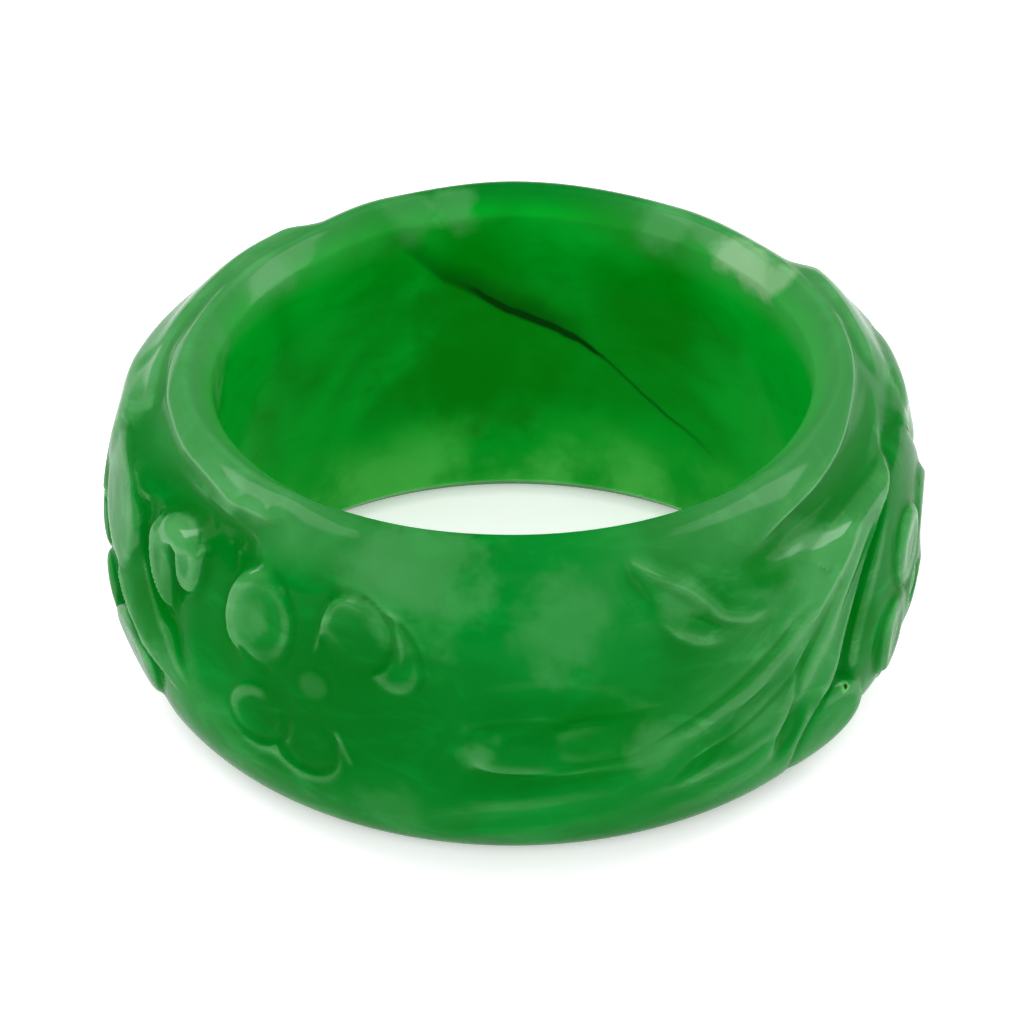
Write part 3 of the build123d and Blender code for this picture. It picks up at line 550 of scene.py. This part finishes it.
class BandSettings(bpy.types.PropertyGroup):
    bore_across: FloatProperty(
        name="Bore", description="Width of the finger hole", unit="LENGTH", default=0.057 / pi)
    band_width: FloatProperty(
        name="Band width", description="Foot to rim, along the finger", unit="LENGTH", default=0.0109)
    belly_wall: FloatProperty(
        name="Belly wall", description="Stone from bore to belly, before carving", unit="LENGTH",
        default=0.00338)
    belly_level: FloatProperty(
        name="Belly level", description="Height of the widest level", unit="LENGTH", default=0.0053)
    rim_wall: FloatProperty(
        name="Rim wall", description="Bore to the crest of the rim", unit="LENGTH", default=0.00088)
    lip_drop: FloatProperty(
        name="Lip drop", description="Crest of the rim down to the bore's edge", unit="LENGTH",
        default=0.00061)
    lip_fullness: FloatProperty(
        name="Lip fullness", description="How far the bevel bulges", unit="LENGTH", default=0.00005)
    rim_sway: FloatProperty(
        name="Rim sway", description="How much lower the rim runs at its lowest", unit="LENGTH",
        default=0.00042)
    foot_wall: FloatProperty(
        name="Foot wall", description="Bore to the foot's outer edge", unit="LENGTH", default=0.00098)
    foot_flat: FloatProperty(
        name="Foot flat", description="Width of the flat foot", unit="LENGTH", default=0.00025)
    foot_reach: FloatProperty(
        name="Foot curve", description="Lower curve's radius over its reach inwards", default=1.43)
    heel_rise: FloatProperty(
        name="Heel rise", description="Bore's edge above the foot", unit="LENGTH", default=0.00066)
    relief_depth: FloatProperty(
        name="Relief depth", description="Full depth of the carved ground", unit="LENGTH", default=0.00042)
    edge_softness: FloatProperty(
        name="Edge softness", description="Half the width of a carved edge", unit="LENGTH", default=0.00017)
    plain_foot: FloatProperty(
        name="Plain foot", description="Uncarved border over the foot", unit="LENGTH", default=0.0007)
    plain_rim: FloatProperty(
        name="Plain rim", description="Uncarved border under the crest", unit="LENGTH", default=0.00025)
    columns: IntProperty(
        name="Columns", description="Steps round the band", default=700, min=90)
    wall_rows: IntProperty(
        name="Wall rows", description="Steps up the carved outside", default=117, min=12)
    deep_green: FloatVectorProperty(
        name="Deep green", description="Clear, deep jade", subtype="COLOR", min=0, max=1,
        default=(0.0, 0.110, 0.006))
    milky_green: FloatVectorProperty(
        name="Milky green", description="Clouded jade", subtype="COLOR", min=0, max=1,
        default=(0.0, 0.190, 0.019))
    # Pale green is both natural pale clouds and the painted sheen and highlights on raised jade at the sides,
    # on the ridges and along the collar.
    pale_green: FloatVectorProperty(
        name="Pale green", description="Raised jade at the sides and the rim", subtype="COLOR", min=0, max=1,
        default=(0.070, 0.265, 0.088))
    # Painted highlight on the lip.
    lip_highlight_green: FloatVectorProperty(
        name="Palest green", description="The palest clouds, in the lip", subtype="COLOR", min=0, max=1,
        default=(0.210, 0.370, 0.190))
    # Clear green is both the deep green of clear jade in the dark clouds and the painted shade in the
    # carving's grooves.
    clear_and_shade_green: FloatVectorProperty(
        name="Clear green", description="Clear jade, dark in the creases", subtype="COLOR", min=0, max=1,
        default=(0.0, 0.120, 0.004))
    speck_brown: FloatVectorProperty(
        name="Speck brown", description="Specks on the surface", subtype="COLOR", min=0, max=1,
        default=(0.010, 0.008, 0.0))
    # Painted light: a brighter green for the bore's wall, in place of light coming through the stone.
    bore_light_green: FloatVectorProperty(
        name="Bore green", description="Bore wall, lit through the stone", subtype="COLOR", min=0, max=1,
        default=(0.0, 0.285, 0.014))
    # Painted shade in the bore's wall, also used for its dark clouds.
    bore_shade: FloatVectorProperty(
        name="Bore shade", description="Deeper clouds in the bore's wall", subtype="COLOR", min=0, max=1,
        default=(0.0, 0.160, 0.001))
    pale_cloud: FloatVectorProperty(
        name="Pale cloud", description="Yellowish flecks low in the bore", subtype="COLOR", min=0, max=1,
        default=(0.140, 0.620, 0.120))
    crease_width: FloatProperty(
        name="Crease width", description="Half width of the dark line", unit="LENGTH", default=0.00011)
    shade_width: FloatProperty(
        name="Shade width", description="Half width of the soft shade by its start", unit="LENGTH",
        default=0.0012)
    # The dark line along the bore's wall, drawn in colour only.
    crease_green: FloatVectorProperty(
        name="Crease green", description="The natural crease in the bore", subtype="COLOR", min=0, max=1,
        default=(0.0, 0.035, 0.001))


class StageSettings(bpy.types.PropertyGroup):
    floor_color: FloatVectorProperty(
        name="Floor", description="Colour of the floor", subtype="COLOR", min=0, max=1,
        default=(0.945, 0.88, 0.945))
    floor_width: FloatProperty(
        name="Floor width", description="Side of the square floor", unit="LENGTH", default=3.0)
    floor_glow: FloatProperty(
        name="Floor glow", description="Light of the floor's own, as on a light table", default=0.36)
    overhead_watts: FloatProperty(
        name="Overhead light", description="Power of the light over the ring", default=2.6)
    panel_watts: FloatProperty(
        name="Side panels", description="Power of each panel by the camera", default=1.0)
    side_watts: FloatProperty(
        name="Side lights", description="Power of each light beside the ring", default=0.85)
    room_glow: FloatProperty(
        name="Room glow", description="Even light from all round", default=0.25)
    camera_height_angle: FloatProperty(
        name="Camera height", description="Camera's angle over the floor", subtype="ANGLE",
        default=radians(33.02))
    camera_distance: FloatProperty(
        name="Camera distance", description="Camera to the ring's middle", unit="LENGTH", default=0.2016)
    camera_lens: FloatProperty(
        name="Lens", description="Focal length in millimetres", default=231.5)


# Noise in the stone: size in metres, then how much fine detail it has, and how far it is drawn out
Noise = namedtuple("Noise", "size detail roughness distortion")
CLOUDED = Noise(0.0062, 2.0, 0.55, 0.6)
WISPY = Noise(0.0024, 4.0, 0.60, 1.0)
MOTTLED = Noise(0.0007, 3.0, 0.60, 0.0)
RAGGED = Noise(0.0014, 3.0, 0.60, 0.0)
FLECKED = Noise(0.0034, 4.0, 0.60, 0.0)
WAVY = Noise(0.0016, 2.0, 0.50, 0.0)
WISP_STRETCH = (1.0, 1.0, 2.2)
WISP_PLACE = (0.01, 0.02, 0.0)

# Where an effect starts and where it is full: metres from the ring's middle or over the floor, or a
# share of the relief's depth
Span = namedtuple("Span", "low high")
SIDES = Span(0.0010, 0.0095)
UPPER_PART = Span(0.0030, 0.0095)
BORE_SHADE_RISE = Span(0.0022, 0.0045)
COLLAR = Span(0.0090, 0.0104)
BORE_FOOT = Span(0.0010, 0.0036)
RAISED = Span(-0.80, 0.20)
CROWN = Span(-0.30, 0.30)
RIDGES = Span(0.015, 0.10)
GROOVES = Span(-0.09, -0.01)
SHADE_EDGE = Span(-0.00025, 0.00005)

# The crease's parts: radians to the right of the back where each starts, is full, fades and ends
CreasePart = namedtuple("CreasePart", "start full fade end")
BOLD = CreasePart(-0.22, -0.05, 0.24, 0.36)
THIN = CreasePart(0.10, 0.26, 0.55, 0.86)
SHADE = CreasePart(-0.52, -0.20, 0.12, 0.36)

CLOUD_RAGGED = 1.6           # how ragged a cloud's edge is, as a share of its size
CLOUD_CORE = 0.35            # share of a cloud's size over which it is whole
BORE_REACH = 1.02            # a cloud nearer the axis than this share of the bore's radius is in its wall
SPECK_RIM = 2.2              # how far a speck's yellowish edge reaches, as a share of its size
SPECK_CORE = 0.4             # share of a speck's size over which it is whole
CREASE_RAGGED = 0.00025      # how far the crease wanders
BOLD_WIDTH = 1.8             # width of its bold part over that of its thin end
POLISH = 0.36                # gloss of the sides' raised jade
RIDGE_POLISH = 0.40          # gloss that a ridge has more
LEAST_POLISH = 0.02
GRAZING_LOSS = 0.85          # share of the gloss that is lost where the surface is seen at a low angle


class Socket:
    """A shader socket that Python's operators work on."""

    def __init__(self, tree, socket):
        self.tree = tree
        self.socket = socket

    def node(self, kind, settings=None, **inputs):
        """One node: its settings first, then its sockets, by name or as i and a number."""
        made = self.tree.nodes.new(kind)
        for name, value in (settings or {}).items():
            setattr(made, name, value)
        for name, value in inputs.items():
            plug = made.inputs[int(name[1:]) if name[1:].isdigit() else name.replace("_", " ")]
            if isinstance(value, Socket):
                self.tree.links.new(value.socket, plug)
            else:
                plug.default_value = value
        return made

    def out(self, made, name=0):
        return Socket(self.tree, made.outputs[name])

    def math(self, operation, *values):
        return self.out(self.node("ShaderNodeMath", {"operation": operation},
                                  **{f"i{i}": v for i, v in enumerate(values)}))

    def __add__(self, other):
        return self.math("ADD", self, other)

    def __sub__(self, other):
        return self.math("SUBTRACT", self, other)

    def __rsub__(self, other):
        return self.math("SUBTRACT", other, self)

    def __mul__(self, other):
        return self.math("MULTIPLY", self, other)

    __radd__ = __add__
    __rmul__ = __mul__

    def distance(self, place):
        """Metres from this vector to a place."""
        made = self.node("ShaderNodeVectorMath", {"operation": "DISTANCE"}, i0=self, i1=place)
        return self.out(made, "Value")

    def noise(self, kind):
        """Noise from 0 to 1 at this vector."""
        made = self.node("ShaderNodeTexNoise", None, Vector=self, Scale=1 / kind.size,
                         Detail=kind.detail, Roughness=kind.roughness, Distortion=kind.distortion)
        return self.out(made, "Fac")

    def between(self, low, high, first=0.0, last=1.0, ends="SMOOTHSTEP"):
        """The first value below low and the last above high, with soft ends unless they're LINEAR."""
        made = self.node("ShaderNodeMapRange", {"interpolation_type": ends},
                         Value=self, i1=low, i2=high, i3=first, i4=last)
        return self.out(made)

    def within(self, part):
        """1 inside a part of the crease and 0 outside it, with soft ends."""
        return self.between(part.start, part.full) * self.between(part.fade, part.end, 1.0, 0.0)

    def mix(self, first, second):
        """The first colour where this value is 0 and the second where it is 1."""
        made = self.node("ShaderNodeMix", {"data_type": "RGBA"}, i0=self, i6=first, i7=second)
        return self.out(made, 2)


def colour(values):
    return (*values, 1.0)


def inside_stone(spot, s):
    """The place of a cloud or a speck, in metres."""
    a = radians(spot.az)
    out = spot.out / 1000
    return (out * sin(a), -out * cos(a), (1 + spot.z) * s.band_width / 2)


def cloud_green(cloud, s):
    """The green that a cloud brings to the stone; the palest rows are the lip's painted highlight, and the
    dark rows in the bore are its painted shade.
    """
    if cloud.lift > HIGHLIGHT_LIFT:
        return s.lip_highlight_green
    if cloud.lift > 0:
        return s.pale_green
    if cloud.out / 1000 < BORE_REACH * s.bore_across / 2:
        return s.bore_shade
    return s.clear_and_shade_green


def jade_material(s):
    """Clouded green jade with painted sheen, highlights and shade on the carving, the lip and the bore, and a
    dark line through the bore's wall.
    """
    material = bpy.data.materials.new("jade")
    material.use_nodes = True
    tree = material.node_tree
    tree.nodes.clear()
    coordinates = tree.nodes.new("ShaderNodeTexCoord")
    place = Socket(tree, coordinates.outputs["Object"])
    parts = place.node("ShaderNodeSeparateXYZ", None, Vector=place)
    x, y, z = (place.out(parts, i) for i in range(3))
    across = x.math("SQRT", x * x + y * y)
    cut = place.out(place.node("ShaderNodeAttribute", {"attribute_name": "carving"}), "Fac")
    crest = place.out(place.node("ShaderNodeAttribute", {"attribute_name": "crest"}), "Fac")

    side = x.math("ABSOLUTE", x).between(*SIDES)
    upper = z.between(*UPPER_PART)
    clouds = place.noise(CLOUDED).between(0.42, 0.66)
    drawn = place.node("ShaderNodeMapping", None, Vector=place, Location=WISP_PLACE, Scale=WISP_STRETCH)
    wisps = place.out(drawn).noise(WISPY).between(0.46, 0.72)
    raised = cut.between(*RAISED)
    outside = across.between(s.bore_across / 2, s.bore_across / 2 + s.rim_wall)
    # milky clouds from noise, plus painted light and shade on the relief: raised carving is painted milkier
    # and its hollows deeper green
    milk_and_relief_shade = (clouds * 0.35 + wisps * 0.35 + raised * 0.30) * (outside * 0.85 + 0.15)
    body = milk_and_relief_shade.mix(colour(s.deep_green), colour(s.milky_green))
    # painted sheen: raised jade on the upper part and towards the sides is painted pale where the lights
    # catch it, broken up by natural clouds and mottling
    crown = cut.between(*CROWN) * (upper * 0.6 + 0.4)
    mottle = place.noise(MOTTLED).between(0.35, 0.65)
    pale = crown * (side * 0.75 + 0.04) * (clouds * 0.45 + wisps * 0.55 + 0.25) * (mottle * 0.3 + 0.85)
    body = pale.mix(body, colour(s.pale_green))
    # painted light and shade in the bore: its wall is painted a brighter green in place of light through the
    # stone, with painted shade over its upper part, broken up by clouds
    shaded = (clouds * 0.75 + wisps * 0.25) * z.between(*BORE_SHADE_RISE)
    lit = shaded.mix(colour(s.bore_light_green), colour(s.bore_shade))
    body = outside.mix(lit, body)
    ragged = place.noise(RAGGED) - 0.5
    haze = 1
    for cloud in CLOUDS:
        size = cloud.size / 1000
        away = place.distance(inside_stone(cloud, s))
        away = ragged.math("MULTIPLY_ADD", ragged, size * CLOUD_RAGGED, away)
        near = away.between(size * CLOUD_CORE, size, abs(cloud.lift), 0.0)
        body = near.mix(body, colour(cloud_green(cloud, s)))
        if cloud.lift < 0:
            haze = (1 - near) * haze
    # painted highlight along the carving's ridges, stronger at the sides and streaked with pale wisps
    ridge = crest.between(*RIDGES)
    body = (ridge * (wisps * 0.35 + 0.22) * (side * 0.6 + 0.4)).mix(body, colour(s.pale_green))
    # painted shade in the carving's grooves
    body = ((1 - crest.between(*GROOVES)) * 0.50).mix(body, colour(s.clear_and_shade_green))
    # painted highlight in a band along the collar, at the sides
    body = (z.between(*COLLAR) * side * 0.42).mix(body, colour(s.pale_green))

    # the crease slants down to the right through the back of the bore, with a soft shade over its start
    back = x.math("ARCTAN2", x, y)
    line = (1 + CREASE[0].z) * s.band_width / 2
    for first, second in zip(CREASE, CREASE[1:]):
        drop = (second.z - first.z) * s.band_width / 2
        line = back.between(radians(180 - first.az), radians(180 - second.az), 0.0, drop, "LINEAR") + line
    over = z - line + ragged * CREASE_RAGGED
    bore = 1 - outside
    bold = (over * over).between(0.0, (s.crease_width * BOLD_WIDTH)**2, 1.0, 0.0) * back.within(BOLD)
    thin = (over * over).between(0.0, s.crease_width**2, 1.0, 0.0) * back.within(THIN)
    shade = over.between(*SHADE_EDGE) * over.between(0.0, s.shade_width, 1.0, 0.0) * back.within(SHADE)
    body = (bore * (bold * 0.62 + thin * 0.55 + shade * 0.60)).mix(body, colour(s.crease_green))

    # paler flecks low in the bore
    flecks = place.noise(FLECKED).between(0.36, 0.66) * (1 - z.between(*BORE_FOOT)) * bore
    body = (flecks * 0.40).mix(body, colour(s.pale_cloud))

    for speck in SPECKS:
        size = speck.size / 1000
        away = place.distance(inside_stone(speck, s))
        body = away.between(size, size * SPECK_RIM, 0.35, 0.0).mix(body, colour(s.pale_cloud))
        body = away.between(size * SPECK_CORE, size, 1.0, 0.0).mix(body, colour(s.speck_brown))

    shader = place.node("ShaderNodeBsdfPrincipled", None, Base_Color=body, Roughness=0.17, IOR=1.45)
    shader.subsurface_method = "RANDOM_WALK"
    shader.inputs["Specular IOR Level"].default_value = 0.01
    polish = across.between(s.bore_across / 2, s.bore_across / 2 + s.rim_wall * 0.2) * side * upper
    polish = polish * (raised * 0.9 + 0.1) * haze * POLISH + LEAST_POLISH
    facing = place.out(place.node("ShaderNodeLayerWeight", None, Blend=0.5), "Facing")
    polish = (polish + ridge * haze * RIDGE_POLISH) * (1 - facing.between(0.35, 0.90) * GRAZING_LOSS)
    tree.links.new(polish.socket, shader.inputs["Coat Weight"])
    shader.inputs["Coat Roughness"].default_value = 0.10
    shader.inputs["Coat IOR"].default_value = 1.40
    shader.inputs["Coat Tint"].default_value = (0.85, 1.0, 0.85, 1.0)
    shader.inputs["Subsurface Weight"].default_value = 0.35
    shader.inputs["Subsurface Radius"].default_value = (0.25, 1.0, 0.35)
    shader.inputs["Subsurface Scale"].default_value = 0.0008
    waves = place.noise(WAVY)
    bump = place.node("ShaderNodeBump", None, Strength=0.15, Distance=0.00004, Height=waves)
    tree.links.new(bump.outputs[0], shader.inputs["Normal"])
    output = tree.nodes.new("ShaderNodeOutputMaterial")
    tree.links.new(shader.outputs[0], output.inputs["Surface"])
    return material


WIDTH_TOLERANCE = 0.02       # how far the CAD solid's width may be from the band's, as a share of it
LIP_ROWS = 9
LIP_EASE = 5                 # how soon the rounding of the crest runs out into the bevel
BORE_ROWS = 4
HEEL_ROWS = 4
COLUMN_SPLIT = 10            # columns that each step of the spin is divided into
CREST_STEPS = 24             # steps from vertex to vertex over which a crest is told from what is round it
FRONT_DENSITY = 0.35         # how much closer the columns stand at the front than evenly


class JADERING_OT_band(bpy.types.Operator):
    """Make the carved band, in place of its plain CAD solid"""
    bl_idname = "jade_ring.band"
    bl_label = "Carved band"

    def execute(self, context):
        s = context.scene.jade_band
        stone = Stone(s)
        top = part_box("carved_band")[1].z
        if abs(top - s.band_width) > WIDTH_TOLERANCE * s.band_width:
            raise RuntimeError("the band's width isn't the CAD solid's")
        walls = np.linspace(-1, 1, s.wall_rows)
        outside = zip(*stone.uncut_wall(np.zeros(s.wall_rows), walls))
        shape = bmesh.new()
        row_layer = shape.verts.layers.float.new("row")
        start = []
        for i, (radius, height) in enumerate([*outside, *self.inner_rows(stone, 0.0)]):
            v = shape.verts.new((0, -float(radius), float(height)))
            v[row_layer] = i
            start.append(v)
        edges = [shape.edges.new((a, b)) for a, b in zip(start, start[1:] + start[:1])]
        bmesh.ops.spin(shape, geom=start + edges, cent=(0, 0, 0), axis=(0, 0, 1), angle=2 * pi,
                       steps=s.columns // COLUMN_SPLIT, use_merge=True)
        hoops = [e for e in shape.edges if e.verts[0][row_layer] == e.verts[1][row_layer]]
        bmesh.ops.subdivide_edges(shape, edges=hoops, cuts=COLUMN_SPLIT - 1, use_grid_fill=True)
        bmesh.ops.recalc_face_normals(shape, faces=shape.faces)
        for face in shape.faces:
            face.smooth = True
        mesh = bpy.data.meshes.new("carved_jade_band")
        shape.to_mesh(mesh)
        shape.free()
        self.carve(stone, mesh, walls)
        band = bpy.data.objects.new("carved_jade_band", mesh)
        context.scene.collection.objects.link(band)
        mesh.materials.append(jade_material(s))
        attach(band, "root")
        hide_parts("carved_band")
        return {"FINISHED"}

    def inner_rows(self, stone, az):
        """Radius and height of every row from the crest, down the bore, to the foot."""
        s = stone.s
        crest = stone.crest_height(az)
        out = []
        for share in np.arange(1, LIP_ROWS + 1) / LIP_ROWS:
            full = s.lip_fullness * 4 * share * (1 - share) + s.lip_drop * share * (1 - share)**LIP_EASE
            out.append((stone.crest - s.rim_wall * share, crest - s.lip_drop * share + full))
        for share in np.arange(1, BORE_ROWS + 1) / BORE_ROWS:
            out.append((stone.bore, (crest - s.lip_drop) * (1 - share) + s.heel_rise * share))
        inner_foot = stone.foot - s.foot_flat
        for share in np.arange(1, HEEL_ROWS + 1) / HEEL_ROWS:
            out.append((stone.bore + (inner_foot - stone.bore) * share, s.heel_rise * (1 - share)))
        return out

    def carve(self, stone, mesh, walls):
        """Set the columns, put every row at its place round the ring, and cut the relief."""
        count = len(mesh.vertices)
        points = np.empty(count * 3)
        mesh.vertices.foreach_get("co", points)
        points = points.reshape(-1, 3)
        row = np.empty(count)
        mesh.attributes["row"].data.foreach_get("value", row)
        row = np.rint(row).astype(int)
        share = np.degrees(np.arctan2(points[:, 0], -points[:, 1])) / 180
        az = 180 * (share * (1 - FRONT_DENSITY) + share**3 * FRONT_DENSITY)
        radius, height, carved = np.zeros((3, count))
        wall = row < len(walls)
        radius[wall], height[wall], carved[wall] = stone.carved_wall(az[wall], walls[row[wall]])
        for i, (radii, heights) in enumerate(self.inner_rows(stone, az), len(walls)):
            radius = np.where(row == i, radii, radius)
            height = np.where(row == i, heights, height)
        turn = np.radians(az)
        placed = np.stack([radius * np.sin(turn), -radius * np.cos(turn), height], -1)
        mesh.vertices.foreach_set("co", placed.ravel())
        mesh.attributes.remove(mesh.attributes["row"])
        cut = mesh.attributes.new("carving", "FLOAT", "POINT")
        cut.data.foreach_set("value", carved)
        crest = mesh.attributes.new("crest", "FLOAT", "POINT")
        crest.data.foreach_set("value", carved - self.spread(mesh, carved))
        mesh.update()

    def spread(self, mesh, values):
        """The mean of the values round every vertex."""
        ends = np.empty(len(mesh.edges) * 2, int)
        mesh.edges.foreach_get("vertices", ends)
        a, b = ends.reshape(-1, 2).T
        count = len(values)
        neighbours = np.bincount(a, minlength=count) + np.bincount(b, minlength=count)
        for _ in range(CREST_STEPS):
            total = np.bincount(a, values[b], count) + np.bincount(b, values[a], count)
            values = (values + total / neighbours) / 2
        return values


def area_light(name, place, aim, width, height, watts):
    """A rectangular light that shines at the aim."""
    data = bpy.data.lights.new(name, "AREA")
    data.shape = "RECTANGLE"
    data.size = width
    data.size_y = height
    data.energy = watts
    lamp = bpy.data.objects.new(name, data)
    bpy.context.scene.collection.objects.link(lamp)
    lamp.location = place
    lamp.rotation_euler = (Vector(aim) - Vector(place)).to_track_quat("-Z", "Y").to_euler()


# Lights round the ring, with the setting that holds their watts: degrees and metres
Lamp = namedtuple("Lamp", "name azimuth elevation distance width height watts")
LAMPS = [
    Lamp("left_box", -107, 48, 0.50, 0.14, 0.32, "side_watts"),
    Lamp("right_box", 107, 48, 0.50, 0.14, 0.32, "side_watts"),
    Lamp("left_panel", -27, 35, 0.50, 0.29, 0.34, "panel_watts"),
    Lamp("right_panel", 19, 35, 0.50, 0.26, 0.34, "panel_watts"),
]
OVERHEAD_PLACE = (0.0, 0.08, 0.60)
OVERHEAD_SIZE = 0.9
CAMERA_AIM = Vector((-0.000025, 0, 0.00528))
FILM_WIDTH = 36              # millimetres


def around(azimuth, elevation, distance, middle):
    """The place at a distance from the middle, in the given direction."""
    a = radians(azimuth)
    e = radians(elevation)
    return middle + distance * Vector((sin(a) * cos(e), -cos(a) * cos(e), sin(e)))


class JADERING_OT_stage(bpy.types.Operator):
    """Make the pale floor, the soft lights and the camera"""
    bl_idname = "jade_ring.stage"
    bl_label = "Stage"

    def execute(self, context):
        s = context.scene.jade_stage
        shape = bmesh.new()
        bmesh.ops.create_grid(shape, x_segments=1, y_segments=1, size=s.floor_width / 2)
        mesh = bpy.data.meshes.new("pale_floor")
        shape.to_mesh(mesh)
        shape.free()
        floor = bpy.data.objects.new("pale_floor", mesh)
        context.scene.collection.objects.link(floor)
        material = bpy.data.materials.new("pale_floor")
        material.use_nodes = True
        shader = material.node_tree.nodes["Principled BSDF"]
        shader.inputs["Base Color"].default_value = colour(s.floor_color)
        shader.inputs["Roughness"].default_value = 1.0
        shader.inputs["Specular IOR Level"].default_value = 0.0
        shader.inputs["Emission Color"].default_value = (1, 1, 1, 1)
        shader.inputs["Emission Strength"].default_value = s.floor_glow
        mesh.materials.append(material)

        middle = (cad_box[0] + cad_box[1]) / 2
        area_light("overhead", OVERHEAD_PLACE, middle, OVERHEAD_SIZE, OVERHEAD_SIZE, s.overhead_watts)
        for lamp in LAMPS:
            place = around(lamp.azimuth, lamp.elevation, lamp.distance, middle)
            area_light(lamp.name, place, middle, lamp.width, lamp.height, getattr(s, lamp.watts))

        world = bpy.data.worlds.new("studio")
        world.use_nodes = True
        background = world.node_tree.nodes["Background"]
        background.inputs["Color"].default_value = (1, 1, 1, 1)
        background.inputs["Strength"].default_value = s.room_glow
        context.scene.world = world
        context.scene.view_settings.view_transform = "Standard"

        data = bpy.data.cameras.new("camera")
        data.lens = s.camera_lens
        data.sensor_width = FILM_WIDTH
        data.clip_start = 0.01
        camera = bpy.data.objects.new("camera", data)
        context.scene.collection.objects.link(camera)
        camera.location = around(0, degrees(s.camera_height_angle), s.camera_distance, CAMERA_AIM)
        camera.rotation_euler = (CAMERA_AIM - camera.location).to_track_quat("-Z", "Y").to_euler()
        context.scene.camera = camera
        return {"FINISHED"}


class JADERING_PT_panel(bpy.types.Panel):
    bl_idname = "JADERING_PT_panel"
    bl_label = "Jade band ring"
    bl_space_type = "VIEW_3D"
    bl_region_type = "UI"
    bl_category = "Jade Ring"

    def draw(self, context):
        layout = self.layout
        for operator, settings in ((JADERING_OT_band, context.scene.jade_band),
                                   (JADERING_OT_stage, context.scene.jade_stage)):
            layout.operator(operator.bl_idname)
            box = layout.box()
            for name in settings.__annotations__:
                box.prop(settings, name)


CLASSES = (BandSettings, StageSettings, JADERING_OT_band, JADERING_OT_stage, JADERING_PT_panel)


def register():
    for item in CLASSES:
        bpy.utils.register_class(item)
    bpy.types.Scene.jade_band = PointerProperty(type=BandSettings)
    bpy.types.Scene.jade_stage = PointerProperty(type=StageSettings)


def unregister():
    del bpy.types.Scene.jade_stage
    del bpy.types.Scene.jade_band
    for item in reversed(CLASSES):
        bpy.utils.unregister_class(item)


def main():
    register()
    bpy.ops.jade_ring.stage()
    bpy.ops.jade_ring.band()


if __name__ == "__main__":
    main()
